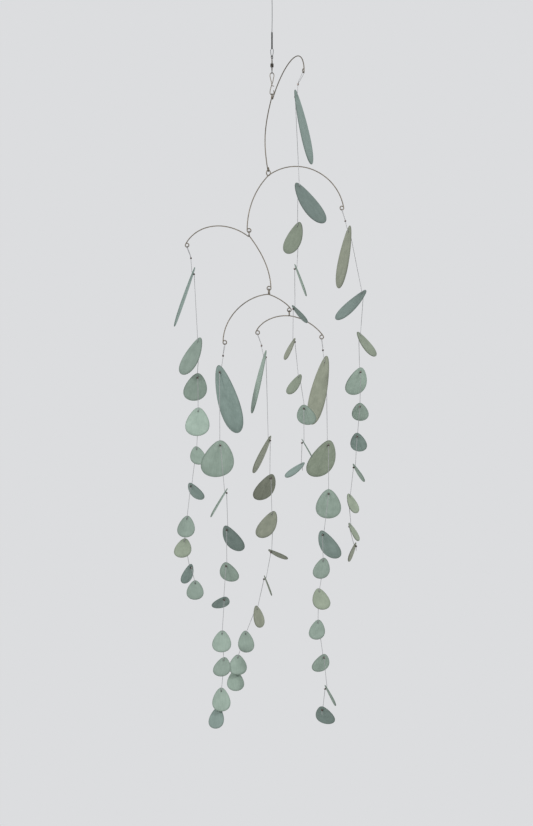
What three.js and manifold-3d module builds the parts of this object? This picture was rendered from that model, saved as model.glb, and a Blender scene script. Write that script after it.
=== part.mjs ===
// A hanging leaf mobile: a swivel and a wire snap on a short line, five balanced wire arms in a cascade,
// and six threads that each carry ten flat leaves.
// Millimetres. +Z is up, +X is to the viewer's right, +Y points away from the viewer.
// The origin is at the top of the line's hanging loop, where a hook holds it.
import * as THREE from 'three';
import { mergeVertices } from 'three/addons/utils/BufferGeometryUtils.js';
import Module from 'manifold-3d';

const wasm = await Module();
wasm.setup();

// Clearance that touching pieces keep
const clearance = 0.3;

// Gap between two strands that lie side by side
const strandGap = 0.1;

// Hanging line, a coated wire with a bound loop at each end
const lineThickness = 0.7;
const lineLoopWidth = 7;
const lineLoopLength = 11;
const upperBindingLength = 12;
const bindingDiameter = 2;
const bareLineLength = 42;
const lowerBindingLength = 19;
const lowerLoopWidth = 3.6;
const lowerLoopLength = 9.5;
const loopFullness = 0.8;
const lineSides = 6;
const upperLoopSteps = 10;
const lowerLoopSteps = 8;

// Inside its binding the line lies off the axis from this far in, and is back on the axis this far out
const bindingInset = 1;
const centringLength = 2;

// Barrel swivel
const swivelEyeRadius = 1.7;
const upperEyeTurn = 60;
const swivelWire = 0.9;
const barrelRadius = 1.9;
const barrelWall = 0.6;
const barrelLength = 4.4;
const swivelHeadThickness = 0.7;
const stemOverlap = 0.1;
const neckDiameter = 1.5;
const upperNeckLength = 5.5;
const lowerNeckLength = 4;
const swivelSides = 8;
const swivelEyeSteps = 10;
const barrelSides = 10;
const swivelHeadRadius = barrelRadius - barrelWall - clearance;
const barrelMouthRadius = swivelWire / 2 + clearance;

// Wire safety snap
const snapWire = 0.9;
const snapLength = 25.5;
const snapBowWidth = 4.6;
const snapHookRadius = 2.2;
const snapWaistHeight = 12;
const snapSteps = 28;
const snapSides = 6;

// Wire arms: each is one wire with an eye at its pivot and an eye at each end
const armWire = 1.2;
const pivotEyeWidth = 4.4;
const pivotEyeHeight = 6.2;
const endEyeRadius = 2.2;
const endEyeSweep = 318;
const armSides = 6;
const bowSteps = 7;
const eyeSteps = 8;

// How far below its own pivot each arm carries the next arm's eye
const firstArmDrop = 81;
const secondArmDrop = 64;
const thirdArmDrop = 60;
const fourthArmDrop = 16;

// How far from its pivot each arm reaches to the end that carries a thread, and that end's rise or drop
const firstArmReach = 97;
const secondArmReach = 91;
const thirdArmReach = 78;
const fourthArmReach = 58.5;
const fifthArmReachRight = 39.5;
const fifthArmReachLeft = 39;
const firstArmRise = 19.5;
const secondThreadDrop = 35;
const thirdThreadDrop = 7;
const fourthThreadDrop = 56;
const fifthThreadDropRight = 23.5;
const fifthThreadDropLeft = 18;

// Leaves and threads
const leafThickness = 1;
const outlinePoints = 14;
const holeSides = 4;
const threadThickness = 0.6;
const threadSides = 4;
const holeDiameter = threadThickness + 3 * clearance;
const crimpDiameter = 2.1;
const crimpLength = 2;
const crimpSides = 4;
const loopCrimpDrop = 13;
const threadLoopSteps = 6;
const tailLength = 5;

// How far to the right of its arm's end each thread's loop crimp hangs
const loopCrimpShifts = { a: -6, b: 4, c: 4.5, d: -2, e: 4.5, f: 1.5 };

// Each arm: azimuth of its right-hand side, turn of its pivot eye out of its own plane, and its two sides.
// A side is a curve from the pivot: reach and rise of its end, its slope at the pivot and at the end
// in degrees, and how far it keeps each slope.
const armShapes = {
  arm_1: {
    azimuth: -69,
    eyeTurn: -21,
    right: { reach: firstArmReach, rise: firstArmRise, slopes: [47, -85], keeps: [53, 34] },
    left: { reach: -11, rise: -firstArmDrop, slopes: [-128, -66], keeps: [40, 34] },
  },
  arm_2: {
    azimuth: 15,
    eyeTurn: 0,
    right: { reach: secondArmReach, rise: -secondThreadDrop, slopes: [36, -80], keeps: [45, 40] },
    left: { reach: -25.5, rise: -secondArmDrop, slopes: [-135, -90], keeps: [20, 28] },
  },
  arm_3: {
    azimuth: -20,
    eyeTurn: -60,
    right: { reach: 26, rise: -thirdArmDrop, slopes: [-52, -88], keeps: [20, 24] },
    left: { reach: -thirdArmReach, rise: -thirdThreadDrop, slopes: [144, -120], keeps: [36, 26] },
  },
  arm_4: {
    azimuth: 25,
    eyeTurn: 60,
    right: { reach: 28.5, rise: -fourthArmDrop, slopes: [-14, -50], keeps: [10, 9] },
    left: { reach: -fourthArmReach, rise: -fourthThreadDrop, slopes: [182, -90], keeps: [28, 30] },
  },
  arm_5: {
    azimuth: -15,
    eyeTurn: -60,
    right: { reach: fifthArmReachRight, rise: -fifthThreadDropRight, slopes: [-8, -55], keeps: [16, 14] },
    left: { reach: -fifthArmReachLeft, rise: -fifthThreadDropLeft, slopes: [175, -115], keeps: [17, 13] },
  },
};

// Four cuts of leaf: place of the hole from the narrow end, and how far the outline swells below its middle
const leafCuts = {
  long: { holeInset: 8, swell: 0.28 },
  broad: { holeInset: 5.5, swell: 0.34 },
  middle: { holeInset: 5, swell: 0.34 },
  small: { holeInset: 4, swell: 0.34 },
};

// Leaves of each thread from the top: cut, drop of the hole from the one above, hole's place to the right of
// the thread's anchor, length, width, lean from the plumb line, azimuth that the leaf leans to, and colour
const threadLeaves = {
  a: [
    ['long', 26.5, -7.5, 86, 32, 13, -20, 'blue'],
    ['broad', 100, -5, 59, 37.5, 37, -41, 'blue'],
    ['middle', 44, -6, 39, 31, 22, -140, 'sage'],
    ['middle', 47, -8, 38, 30, 20, 2, 'green'],
    ['small', 44, -10, 26, 22, 41, 15, 'blue'],
    ['small', 37, -11, 27, 22, 25, -165, 'olive'],
    ['small', 40, -5, 27, 22, 34, -145, 'sage'],
    ['small', 34, 1, 26, 24, 31, 68, 'green'],
    ['small', 38, 0, 24, 21, 29, 0, 'green'],
    ['small', 25, -2, 28, 22, 54, -150, 'blue'],
  ],
  b: [
    ['long', 26, 8, 75, 27, 11, -153, 'olive'],
    ['broad', 71, 24, 51, 38, 46, -152, 'blue'],
    ['middle', 49, 21, 36, 31, 36, -28, 'sage'],
    ['middle', 42, 21, 36, 30, 28, 120, 'green'],
    ['small', 40, 21, 26, 21, 37, 85, 'green'],
    ['small', 35, 18, 26, 21, 33, 75, 'blue'],
    ['small', 36, 15, 25, 21, 32, 12, 'green'],
    ['small', 35, 9, 25, 22, 25, -34, 'sage'],
    ['small', 34, 10, 24, 21, 29, -20, 'sage'],
    ['small', 23, 15, 24, 21, 20, 164, 'olive'],
  ],
  c: [
    ['long', 31, 6.5, 73, 28, 19, 176, 'blue'],
    ['broad', 79, 13, 49, 38, 27, -145, 'green'],
    ['middle', 41, 12, 37, 30, 31, 107, 'green'],
    ['middle', 40, 13, 37, 30, 27, -95, 'green'],
    ['small', 44, 11, 25, 20, 33, -73, 'green'],
    ['small', 42, 5, 27, 22, 42, 49, 'blue'],
    ['small', 39, 0, 27, 22, 24, -100, 'green'],
    ['small', 26, -3, 26, 22, 34, -105, 'sage'],
    ['small', 30, 3.5, 25, 22, 22, 143, 'blue'],
    ['small', 19, 9.5, 25, 21, 31, -90, 'green'],
  ],
  d: [
    ['long', 31, -5, 85, 32, 24, 55, 'blue'],
    ['broad', 83, -5.5, 48, 41, 28, 105, 'green'],
    ['middle', 54, 0.5, 38, 31, 30, 176, 'green'],
    ['middle', 42, 3, 37, 30, 36, 49, 'blue'],
    ['small', 41, 2, 27, 25, 32, 65, 'green'],
    ['small', 38, -1, 26, 22, 56, 112, 'blue'],
    ['small', 40, -3, 26, 23, 24, -95, 'green'],
    ['small', 30, -1, 25, 22, 36, -108, 'green'],
    ['small', 35, -4, 28, 22, 23, -88, 'green'],
    ['small', 22, -8, 26, 19, 28, -105, 'blue'],
  ],
  e: [
    ['long', 26, 8, 75, 29, 13, -168, 'green'],
    ['broad', 96, 13, 48, 38, 25, 168, 'olive'],
    ['middle', 43.5, 14.5, 38, 31, 36, 128, 'olive'],
    ['middle', 43, 17, 37, 30, 35, -132, 'olive'],
    ['small', 42, 16, 27, 22, 63, 36, 'olive'],
    ['small', 32, 9, 25, 21, 20, 5, 'sage'],
    ['small', 35, -1, 26, 22, 13, -34, 'olive'],
    ['small', 29, -14, 26, 20, 20, -80, 'green'],
    ['small', 27.5, -23, 26, 22, 33, -88, 'green'],
    ['small', 18.5, -26, 26, 21, 33, -85, 'green'],
  ],
  f: [
    ['long', 27, 4, 82, 30, 16, -140, 'olive'],
    ['broad', 94, 7, 50, 40, 32, 123, 'sage'],
    ['middle', 56, 8, 38, 31, 26, 90, 'green'],
    ['middle', 47, 2, 40, 32, 34, 47, 'blue'],
    ['small', 31, 2, 26, 22, 27, -115, 'green'],
    ['small', 35, -3, 27, 23, 30, -68, 'sage'],
    ['small', 36, -4, 25, 20, 30, -105, 'green'],
    ['small', 39, 2, 26, 23, 33, 115, 'green'],
    ['small', 36, 5.5, 27, 22, 27, 9, 'green'],
    ['small', 24, 1, 27, 25, 35, 64, 'blue'],
  ],
};
const separateLeaves = 7;

// Colours
const leafColours = { blue: 0x6d7d77, green: 0x829287, sage: 0x818c7b, olive: 0x7d8172 };
const wireColour = 0x8a8378;
const swivelColour = 0x4c4a47;
const threadColour = 0xb9babb;

const up = new THREE.Vector3(0, 0, 1);
const vector = (x, y, z) => new THREE.Vector3(x, y, z);
const radians = THREE.MathUtils.degToRad;

function horizontal(azimuth) {
  return vector(Math.cos(radians(azimuth)), Math.sin(radians(azimuth)), 0);
}

// A curve whose steps fall exactly on its route's points
class Route extends THREE.Curve {
  constructor(points) {
    super();
    this.points = points;
  }

  getPoint(t, target = new THREE.Vector3()) {
    const place = t * (this.points.length - 1);
    const before = Math.min(Math.floor(place + 1e-9), this.points.length - 2);
    return target.lerpVectors(this.points[before], this.points[before + 1], place - before);
  }

  getPointAt(t, target) {
    return this.getPoint(t, target);
  }

  getTangentAt(t, target = new THREE.Vector3()) {
    const last = this.points.length - 1;
    const index = Math.round(t * last);
    const previous = this.points[Math.max(index - 1, 0)];
    const next = this.points[Math.min(index + 1, last)];
    const here = this.points[index];
    const into = here.clone().sub(previous).normalize();
    const onward = next.clone().sub(here).normalize();
    return target.copy(into).add(onward).normalize();
  }
}

function polygon(radius, sides) {
  const corners = [];
  for (let side = 0; side < sides; side += 1) {
    const angle = (2 * Math.PI * side) / sides;
    corners.push(new THREE.Vector2(radius * Math.cos(angle), radius * Math.sin(angle)));
  }
  return new THREE.Shape(corners);
}

function wire(points, thickness, sides) {
  const route = new Route(points);
  const settings = { steps: points.length - 1, bevelEnabled: false, extrudePath: route };
  return new THREE.ExtrudeGeometry(polygon(thickness / 2, sides), settings);
}

function solidOf(geometry) {
  const bare = geometry.clone();
  bare.deleteAttribute('normal');
  bare.deleteAttribute('uv');
  const merged = mergeVertices(bare, 1e-4);
  const vertProperties = new Float32Array(merged.attributes.position.array);
  const triVerts = new Uint32Array(merged.index.array);
  return new wasm.Manifold(new wasm.Mesh({ numProp: 3, vertProperties, triVerts }));
}

function geometryOf(solid) {
  const mesh = solid.getMesh();
  const geometry = new THREE.BufferGeometry();
  geometry.setAttribute('position', new THREE.BufferAttribute(mesh.vertProperties, 3));
  geometry.setIndex(new THREE.BufferAttribute(mesh.triVerts, 1));
  return geometry;
}

function joined(geometries) {
  let solid = solidOf(geometries[0]);
  for (const geometry of geometries.slice(1)) {
    solid = solid.add(solidOf(geometry));
  }
  return geometryOf(solid);
}

// A short cylinder from one point to another
function rod(start, end, diameter, sides) {
  const length = start.distanceTo(end);
  const geometry = new THREE.CylinderGeometry(diameter / 2, diameter / 2, length, sides);
  const direction = end.clone().sub(start).normalize();
  const turn = new THREE.Quaternion().setFromUnitVectors(vector(0, 1, 0), direction);
  geometry.applyQuaternion(turn);
  const middle = start.clone().lerp(end, 0.5);
  return geometry.translate(middle.x, middle.y, middle.z);
}

const mobile = new THREE.Group();

function addPiece(name, geometry, colour, roughness, metalness) {
  const material = new THREE.MeshStandardMaterial({ color: colour, roughness, metalness });
  const mesh = new THREE.Mesh(geometry, material);
  mesh.name = name;
  mobile.add(mesh);
}

// A narrow upright loop: up one side, over the top and down the other
function loopOver(top, across, width, length, steps) {
  const points = [];
  for (let step = 0; step <= steps; step += 1) {
    const angle = Math.PI * (step / steps);
    const side = Math.cos(angle) * (width / 2);
    const height = -length + length * Math.sin(angle) ** loopFullness;
    points.push(top.clone().addScaledVector(across, side).addScaledVector(up, height));
  }
  return points;
}

// Hanging line
const loopTop = vector(0, 0, -lineThickness / 2);
const upperBindingBottom = -(lineLoopLength + upperBindingLength);
const lowerBindingTop = upperBindingBottom - bareLineLength;
const lowerBindingBottom = lowerBindingTop - lowerBindingLength;
const lineEnd = lowerBindingBottom - lowerLoopLength;
const strandOffset = (lineThickness + strandGap) / 2;

function hangingLine() {
  const across = vector(1, 0, 0);
  const upper = loopOver(loopTop, across, lineLoopWidth, lineLoopLength, upperLoopSteps);
  const lowerAcross = horizontal(upperEyeTurn + 90);
  const onStrand = (side, height) => lowerAcross.clone().multiplyScalar(side * strandOffset).setZ(height);
  const lowerTop = vector(0, 0, lineEnd + lineThickness / 2);
  const lowerTurned = lowerTop.clone().negate();
  const lower = loopOver(lowerTurned, lowerAcross, lowerLoopWidth, lowerLoopLength, lowerLoopSteps);
  const flipped = lower.map((point) => vector(point.x, point.y, -point.z));
  const start = vector(strandOffset, 0, upperBindingBottom + bindingInset);
  const upperExit = vector(-strandOffset, 0, upperBindingBottom + bindingInset);
  const straightTop = vector(0, 0, upperBindingBottom - centringLength);
  const lowerStart = onStrand(1, lowerBindingTop - centringLength);
  const end = onStrand(-1, lowerBindingTop - centringLength);
  const straightBottom = vector(0, 0, lowerBindingTop + centringLength);
  const upperMouth = vector(strandOffset, 0, -lineLoopLength - bindingInset);
  const upperMouthBack = vector(-strandOffset, 0, -lineLoopLength - bindingInset);
  const lowerMouth = onStrand(1, lowerBindingBottom + bindingInset);
  const lowerMouthBack = onStrand(-1, lowerBindingBottom + bindingInset);
  const route = [
    start, upperMouth, ...upper.slice(1, -1), upperMouthBack, upperExit,
    straightTop, straightBottom,
    lowerStart, lowerMouth, ...flipped.slice(1, -1), lowerMouthBack, end,
  ];
  const upperBinding = rod(
    vector(0, 0, -lineLoopLength), vector(0, 0, upperBindingBottom), bindingDiameter, lineSides,
  );
  const lowerBinding = rod(
    vector(0, 0, lowerBindingTop), vector(0, 0, lowerBindingBottom), bindingDiameter, lineSides,
  );
  return joined([wire(route, lineThickness, lineSides), upperBinding, lowerBinding]);
}

addPiece('hanging_line', hangingLine(), threadColour, 0.5, 0.3);

// Barrel swivel, with a head inside each end of its barrel
const eyeTop = lineEnd + lineThickness + clearance + swivelWire;
const upperEyeCentre = eyeTop - swivelWire / 2 - swivelEyeRadius;
const barrelTop = upperEyeCentre - swivelEyeRadius - upperNeckLength;
const barrelBottom = barrelTop - barrelLength;
const lowerEyeCentre = barrelBottom - lowerNeckLength - swivelEyeRadius;

function swivelEye(centreHeight, headHeight, headSide, turn) {
  const ring = new THREE.TorusGeometry(swivelEyeRadius, swivelWire / 2, 6, swivelEyeSteps);
  ring.rotateX(Math.PI / 2);
  ring.rotateZ(radians(turn));
  ring.translate(0, 0, centreHeight);
  const ringEdge = centreHeight - headSide * swivelEyeRadius;
  const headFar = headHeight - headSide * swivelHeadThickness;
  const stemEnd = headHeight - headSide * stemOverlap;
  const stem = rod(vector(0, 0, ringEdge), vector(0, 0, stemEnd), swivelWire, swivelSides);
  const neckEnd = headHeight + headSide * (barrelWall + 2 * clearance);
  const neck = rod(vector(0, 0, ringEdge), vector(0, 0, neckEnd), neckDiameter, swivelSides);
  const head = rod(vector(0, 0, headHeight), vector(0, 0, headFar), 2 * swivelHeadRadius, swivelSides);
  return joined([ring, neck, stem, head]);
}

function barrel() {
  const inner = barrelRadius - barrelWall;
  const profile = [
    [barrelMouthRadius, 0],
    [inner, 0],
    [barrelRadius, barrelWall],
    [barrelRadius, barrelLength - barrelWall],
    [inner, barrelLength],
    [barrelMouthRadius, barrelLength],
    [barrelMouthRadius, barrelLength - barrelWall],
    [inner, barrelLength - barrelWall],
    [inner, barrelWall],
    [barrelMouthRadius, barrelWall],
    [barrelMouthRadius, 0],
  ];
  const points = profile.map(([radius, height]) => new THREE.Vector2(radius, height));
  const geometry = new THREE.LatheGeometry(points, barrelSides);
  geometry.rotateX(Math.PI / 2);
  return geometry.translate(0, 0, barrelBottom);
}

const upperHead = barrelTop - barrelWall - clearance;
const lowerHead = barrelBottom + barrelWall + clearance;
addPiece('swivel_upper_eye', swivelEye(upperEyeCentre, upperHead, 1, upperEyeTurn), swivelColour, 0.35, 0.9);
addPiece('swivel_barrel', barrel(), swivelColour, 0.35, 0.9);
addPiece('swivel_lower_eye', swivelEye(lowerEyeCentre, lowerHead, -1, 90), swivelColour, 0.35, 0.9);

// Wire safety snap: a bow that hangs in the swivel, a waist, and a hook whose end bar closes on the waist
const snapTop = lowerEyeCentre - swivelEyeRadius + (swivelWire + snapWire) / 2 + clearance;
const snapWaist = snapTop - snapWaistHeight;
const hookCentre = snapTop - snapLength + snapHookRadius;
const snapSpacing = (snapWire + clearance) / 2;

function safetySnap() {
  const half = snapBowWidth / 2;
  const reach = snapWaist - hookCentre;
  const guide = [
    vector(half * 0.9, -2 * snapSpacing, snapWaist - 3.6),
    vector(0.2, -2 * snapSpacing, snapWaist - 3),
    vector(-0.6, -snapSpacing, snapWaist + 0.5),
    vector(-half * 0.8, -0.3, snapTop - half * 2.6),
    vector(-half, 0, snapTop - half * 1.5),
    vector(-half * 0.75, 0, snapTop - half * 0.4),
    vector(0, 0, snapTop),
    vector(half * 0.75, 0, snapTop - half * 0.4),
    vector(half, 0, snapTop - half * 1.5),
    vector(half * 0.8, 0.3, snapTop - half * 2.6),
    vector(0.6, snapSpacing, snapWaist + 0.5),
    vector(-0.6, snapSpacing, snapWaist - reach * 0.25),
    vector(-snapHookRadius * 0.9, 0, hookCentre + reach * 0.3),
    vector(-snapHookRadius, 0, hookCentre),
    vector(-snapHookRadius * 0.7, 0, hookCentre - snapHookRadius * 0.7),
    vector(0, 0, hookCentre - snapHookRadius),
    vector(snapHookRadius * 0.7, 0, hookCentre - snapHookRadius * 0.7),
    vector(snapHookRadius, 0, hookCentre),
    vector(snapHookRadius * 0.9, 0, hookCentre + reach * 0.25),
  ];
  const smooth = new THREE.CatmullRomCurve3(guide, false, 'centripetal');
  return wire(smooth.getPoints(snapSteps), snapWire, snapSides);
}

addPiece('safety_snap', safetySnap(), wireColour, 0.35, 0.9);

// One wire ring that starts where its arm arrives, with the hanging point at its lowest place
function endEye(start, direction, inward) {
  const side = inward.clone().addScaledVector(direction, -inward.dot(direction)).normalize();
  const centre = start.clone().addScaledVector(side, endEyeRadius);
  const points = [];
  for (let step = 1; step <= eyeSteps; step += 1) {
    const angle = radians((endEyeSweep * step) / eyeSteps);
    const point = centre.clone().addScaledVector(side, -endEyeRadius * Math.cos(angle));
    points.push(point.addScaledVector(direction, endEyeRadius * Math.sin(angle)));
  }
  const downInPlane = direction.clone().multiplyScalar(-direction.z).addScaledVector(side, -side.z);
  const lowest = centre.clone().addScaledVector(downInPlane.normalize(), endEyeRadius);
  return { points, lowest };
}

// One side of an arm: a smooth bow from the pivot that ends in its eye
function armSide(foot, along, shape, eyePlane) {
  const inPlane = (distance, height) => (
    foot.clone().addScaledVector(along, distance).addScaledVector(up, height)
  );
  const slope = (angle) => along.clone().multiplyScalar(Math.cos(radians(angle))).addScaledVector(
    up, Math.sin(radians(angle)),
  );
  const end = inPlane(shape.reach, shape.rise);
  const leaving = foot.clone().addScaledVector(slope(shape.slopes[0]), shape.keeps[0]);
  const arrival = slope(shape.slopes[1]);
  const arriving = end.clone().addScaledVector(arrival, -shape.keeps[1]);
  const bow = new THREE.CubicBezierCurve3(foot, leaving, arriving, end);
  const towardsPivot = Math.sign(-shape.reach);
  const facing = Math.sign(eyePlane.dot(along)) || 1;
  const eye = endEye(end, arrival, eyePlane.clone().multiplyScalar(towardsPivot * facing));
  return { bow: bow.getPoints(bowSteps), eye };
}

function makeArm(name, hangingPoint, eyePlanes) {
  const shape = armShapes[name];
  const along = horizontal(shape.azimuth);
  const eyeAcross = horizontal(shape.azimuth + shape.eyeTurn);
  const eyeAxis = horizontal(shape.azimuth + shape.eyeTurn + 90);
  const eyeTopHeight = hangingPoint.z + armWire + clearance;
  const pivot = vector(hangingPoint.x, hangingPoint.y, eyeTopHeight - pivotEyeHeight);
  const pitch = armWire + clearance;
  const eyePoints = [];
  for (let step = 0; step <= eyeSteps; step += 1) {
    const share = step / eyeSteps;
    const angle = 2 * Math.PI * share;
    const point = pivot.clone().addScaledVector(eyeAcross, (pivotEyeWidth / 2) * Math.sin(angle));
    point.addScaledVector(up, (pivotEyeHeight / 2) * (1 - Math.cos(angle)));
    eyePoints.push(point.addScaledVector(eyeAxis, pitch * (share - 0.5)));
  }
  const left = armSide(eyePoints[0], along, shape.left, eyePlanes.left);
  const right = armSide(eyePoints[eyeSteps], along, shape.right, eyePlanes.right);
  const route = [
    ...left.eye.points.slice().reverse(),
    ...left.bow.slice().reverse(),
    ...eyePoints.slice(1, -1),
    ...right.bow,
    ...right.eye.points,
  ];
  addPiece(name, wire(route, armWire, armSides), wireColour, 0.35, 0.9);
  return { left: left.eye.lowest, right: right.eye.lowest };
}

// An end eye that holds the next arm is turned across that arm's pivot eye
function planeAcross(name) {
  const shape = armShapes[name];
  return horizontal(shape.azimuth + shape.eyeTurn + 90);
}

function ownPlane(name) {
  return horizontal(armShapes[name].azimuth);
}

const snapHanging = vector(0, 0, hookCentre - snapHookRadius + (snapWire - armWire) / 2);
const firstEnds = makeArm('arm_1', snapHanging, { left: planeAcross('arm_2'), right: ownPlane('arm_1') });
const secondEnds = makeArm('arm_2', firstEnds.left, { left: planeAcross('arm_3'), right: ownPlane('arm_2') });
const thirdEnds = makeArm('arm_3', secondEnds.left, { left: ownPlane('arm_3'), right: planeAcross('arm_4') });
const fourthEnds = makeArm('arm_4', thirdEnds.right, { left: ownPlane('arm_4'), right: planeAcross('arm_5') });
const fifthEnds = makeArm('arm_5', fourthEnds.right, { left: ownPlane('arm_5'), right: ownPlane('arm_5') });

const threadAnchors = {
  a: { point: firstEnds.right, plane: ownPlane('arm_1') },
  b: { point: secondEnds.right, plane: ownPlane('arm_2') },
  c: { point: thirdEnds.left, plane: ownPlane('arm_3') },
  d: { point: fourthEnds.left, plane: ownPlane('arm_4') },
  e: { point: fifthEnds.left, plane: ownPlane('arm_5') },
  f: { point: fifthEnds.right, plane: ownPlane('arm_5') },
};

// Directions of a leaning leaf: down its length, across its width, and out of its lower side
function leafAxes(lean, azimuth) {
  const tilt = radians(lean);
  const out = horizontal(azimuth);
  const down = out.clone().multiplyScalar(Math.sin(tilt)).addScaledVector(up, -Math.cos(tilt));
  const across = horizontal(azimuth + 90);
  const lowerSide = out.clone().multiplyScalar(-Math.cos(tilt)).addScaledVector(up, -Math.sin(tilt));
  return { down, across, lowerSide };
}

// Egg outline with its narrow end at the top, its hole at the shape's origin
function leafShape(cut, length, width) {
  const { holeInset, swell } = leafCuts[cut];
  const corners = [];
  for (let corner = 0; corner < outlinePoints; corner += 1) {
    const angle = (2 * Math.PI * corner) / outlinePoints;
    const lengthwise = (length * (1 - Math.cos(angle))) / 2 - holeInset;
    const widest = 1 + swell ** 2;
    const sideways = ((width / 2) * Math.sin(angle) * (1 - swell * Math.cos(angle))) / widest;
    corners.push(new THREE.Vector2(sideways, lengthwise));
  }
  return new THREE.Shape(corners);
}

// A flat leaf whose hole is centred on the given point
function leafPlate([cut, , , length, width, lean, azimuth], hole, withHole) {
  const shape = leafShape(cut, length, width);
  if (withHole) {
    shape.holes.push(polygon(holeDiameter / 2, holeSides));
  }
  const plate = new THREE.ExtrudeGeometry(shape, { depth: leafThickness, bevelEnabled: false });
  plate.translate(0, 0, -leafThickness / 2);
  const { down, across } = leafAxes(lean, azimuth);
  const outward = across.clone().cross(down);
  const place = new THREE.Matrix4().makeBasis(across, down, outward).setPosition(hole);
  return plate.applyMatrix4(place);
}

// A thread: a loop over its eye closed by a crimp, then through each leaf with a crimp under each hole
function makeThread(letter) {
  const { point, plane } = threadAnchors[letter];
  const leaves = threadLeaves[letter];
  const across = vector(-plane.y, plane.x, 0);
  const top = point.clone().addScaledVector(up, (armWire + threadThickness) / 2 + clearance);
  const crimpCentre = vector(point.x + loopCrimpShifts[letter], point.y, point.z - loopCrimpDrop);
  const loopWidth = armWire + threadThickness + 2 * clearance;
  const side = (threadThickness + strandGap) / 2;
  const strand = (sideways, height) => crimpCentre.clone().addScaledVector(across, sideways).addScaledVector(
    up, height,
  );
  const route = [strand(side, -crimpLength / 2 + clearance), strand(side, crimpLength / 2)];
  for (let step = 0; step <= threadLoopSteps; step += 1) {
    const angle = Math.PI * (step / threadLoopSteps);
    const bend = top.clone().addScaledVector(across, (loopWidth / 2) * Math.cos(angle));
    route.push(bend.addScaledVector(up, (loopWidth / 2) * (Math.sin(angle) - 1)));
  }
  route.push(strand(-side, crimpLength / 2), strand(-side, -crimpLength / 2));
  const crimps = [rod(strand(0, crimpLength / 2), strand(0, -crimpLength / 2), crimpDiameter, crimpSides)];
  const fused = [];
  const hole = point.clone();
  leaves.forEach((leaf, index) => {
    const [, drop, shift, , , lean, azimuth] = leaf;
    hole.z -= drop;
    hole.x = point.x + shift;
    const { lowerSide } = leafAxes(lean, azimuth);
    const entry = leafThickness / 2 + clearance;
    const crimpOut = leafThickness / 2 + clearance + crimpDiameter / 2;
    const crimpPlace = hole.clone().addScaledVector(lowerSide, crimpOut);
    route.push(hole.clone().addScaledVector(lowerSide, -entry), crimpPlace);
    const crimpTop = crimpPlace.clone().addScaledVector(up, crimpLength / 2);
    const crimpBottom = crimpPlace.clone().addScaledVector(up, -crimpLength / 2);
    crimps.push(rod(crimpTop, crimpBottom, crimpDiameter, crimpSides));
    if (index < separateLeaves) {
      const name = `leaf_${letter}${index + 1}_${leaf[7]}`;
      addPiece(name, leafPlate(leaf, hole, true), leafColours[leaf[7]], 0.8, 0);
    } else {
      fused.push(leafPlate(leaf, hole, false));
    }
  });
  const last = route[route.length - 1];
  route.push(last.clone().addScaledVector(up, -tailLength));
  const pieces = [wire(route, threadThickness, threadSides), ...crimps, ...fused];
  addPiece(`thread_${letter}`, joined(pieces), threadColour, 0.5, 0.2);
}

for (const letter of Object.keys(threadLeaves)) {
  makeThread(letter);
}

export default mobile;
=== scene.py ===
# A hanging mobile of matte leaf shapes on thin coated threads, under bowed wire arms and a barrel swivel.
# Shapes are worked out in millimetres and turned to metres as each mesh is made.
import math

import bmesh
import bpy
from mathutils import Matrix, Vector, noise


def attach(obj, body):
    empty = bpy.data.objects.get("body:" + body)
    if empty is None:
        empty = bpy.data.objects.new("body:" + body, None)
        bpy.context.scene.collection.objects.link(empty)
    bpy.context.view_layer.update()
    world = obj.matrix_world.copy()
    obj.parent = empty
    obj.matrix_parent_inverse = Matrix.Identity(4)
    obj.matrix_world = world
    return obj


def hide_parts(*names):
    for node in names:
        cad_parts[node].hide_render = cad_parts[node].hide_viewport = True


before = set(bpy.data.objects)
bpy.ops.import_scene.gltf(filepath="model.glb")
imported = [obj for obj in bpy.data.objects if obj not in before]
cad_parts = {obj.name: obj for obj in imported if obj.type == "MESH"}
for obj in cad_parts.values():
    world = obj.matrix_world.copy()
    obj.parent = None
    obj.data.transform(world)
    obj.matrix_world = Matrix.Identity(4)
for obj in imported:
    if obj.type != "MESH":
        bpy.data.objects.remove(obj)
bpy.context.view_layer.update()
print("stage: frame of", len(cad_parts), "nodes")
metresPerMillimetre = 0.001
up = Vector((0, 0, 1))
clearance = 0.3


# A #rrggbb colour as linear red, green, blue and alpha.
def toLinear(code):
    channels = []
    for start in (1, 3, 5):
        share = int(code[start:start + 2], 16) / 255
        channels.append(share / 12.92 if share <= 0.04045 else ((share + 0.055) / 1.055) ** 2.4)
    return (*channels, 1.0)


def horizontal(azimuth):
    return Vector((math.cos(math.radians(azimuth)), math.sin(math.radians(azimuth)), 0))


# Camera: level, at the height of the photograph's middle
camera = dict(place=(-0.0063, -2.6, -0.503), lens=98.5)
cameraData = bpy.data.cameras.new("camera")
cameraData.lens = camera["lens"]
cameraData.sensor_width = 36
cameraData.clip_start = 0.05
cameraObject = bpy.data.objects.new("camera", cameraData)
cameraObject.location = camera["place"]
cameraObject.rotation_euler = (math.pi / 2, 0, 0)
bpy.context.scene.collection.objects.link(cameraObject)
bpy.context.scene.camera = cameraObject


# Shader helpers
def addNode(tree, kind, settings=None, inputs=None):
    node = tree.nodes.new(kind)
    for name, value in (settings or {}).items():
        setattr(node, name, value)
    for name, value in (inputs or {}).items():
        if isinstance(value, bpy.types.NodeSocket):
            tree.links.new(value, node.inputs[name])
        else:
            node.inputs[name].default_value = value
    return node


def newMaterial(name):
    material = bpy.data.materials.new(name)
    material.use_nodes = True
    tree = material.node_tree
    tree.nodes.clear()
    return material, tree


def closeMaterial(tree, shader):
    addNode(tree, "ShaderNodeOutputMaterial", inputs={"Surface": shader.outputs["BSDF"]})


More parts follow.
